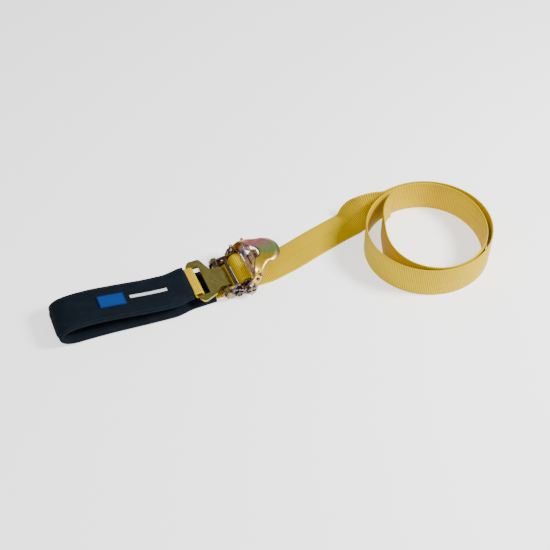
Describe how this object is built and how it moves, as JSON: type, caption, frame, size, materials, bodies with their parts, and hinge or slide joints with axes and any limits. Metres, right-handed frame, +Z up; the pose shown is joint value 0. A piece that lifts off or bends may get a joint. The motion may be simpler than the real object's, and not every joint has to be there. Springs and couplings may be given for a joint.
{
  "type": "ratchet tie-down",
  "caption": "Steel ratchet tie-down with a black sleeved webbing loop, a clip-on hook plate and a long yellow webbing strap, coiled loose",
  "frame": {"origin": "middle of the underside of the ratchet frame's base web, on the floor", "axes": "+X along the ratchet from the hook bolt to the strap, +Y across it along the bolts, +Z up"},
  "size_m": [0.6329, 0.2025, 0.0502],
  "materials": {
    "zinc_yellow": "iridescent yellow zinc plate",
    "zinc_clear": "clear zinc plate",
    "dark_steel": "dark, lightly worn",
    "spring_steel": "drawn wire",
    "webbing_yellow": "woven polyester webbing",
    "sleeve_black": "padded woven nylon, stitched",
    "label_blue": "woven label"
  },
  "bodies": {
    "base": {"frame": "zinc_yellow", "hook_bolt": "zinc_clear", "hook_bolt_nut": "zinc_clear", "hook_bolt_spacer": "zinc_clear", "hook_bolt_washers": "zinc_clear", "anchor_bolt": "zinc_clear", "anchor_bolt_nut": "zinc_clear", "lock_pawl_springs": "spring_steel", "loop_webbing": "webbing_yellow", "sleeve": "sleeve_black", "sleeve_label": "label_blue", "strap_run": "webbing_yellow", "strap_coil": "webbing_yellow"},
    "spindle": {"spindle_half_upper": "zinc_clear", "spindle_half_lower": "zinc_clear", "ratchet_wheel_far": "zinc_yellow", "ratchet_wheel_near": "zinc_yellow", "spindle_washers": "zinc_clear", "spindle_pins": "spring_steel", "strap_winding": "webbing_yellow"},
    "handle": {"handle": "zinc_yellow", "handle_rivets": "zinc_clear"},
    "drive_pawl": {"drive_pawl": "zinc_yellow", "drive_pawl_springs": "spring_steel"},
    "lock_pawl": {"lock_pawl": "dark_steel"},
    "hook": {"hook_plate": "zinc_yellow"}
  },
  "joints": [
    {"name": "handle_swing", "type": "hinge", "parent": "base", "child": "handle", "pos_m": [0.001, 0, 0.016], "axis": [0, -1, 0], "range_deg": [-30, 75]},
    {"name": "spindle_turn", "type": "hinge", "parent": "base", "child": "spindle", "pos_m": [0.001, 0, 0.016], "axis": [0, 1, 0], "continuous": true},
    {"name": "drive_pawl_slide", "type": "slide", "parent": "handle", "child": "drive_pawl", "axis": [0.6018, 0, 0.7986], "range_m": [0, 0.003], "stiffness_N_per_m": 400, "springref_m": -0.002},
    {"name": "lock_pawl_slide", "type": "slide", "parent": "base", "child": "lock_pawl", "axis": [-1, 0, 0], "range_m": [0, 0.0012], "stiffness_N_per_m": 400, "springref_m": -0.002},
    {"name": "hook_swing", "type": "hinge", "parent": "base", "child": "hook", "pos_m": [-0.0685, 0, 0.02], "axis": [0, -1, 0], "range_deg": [0, 60]}
  ]
}
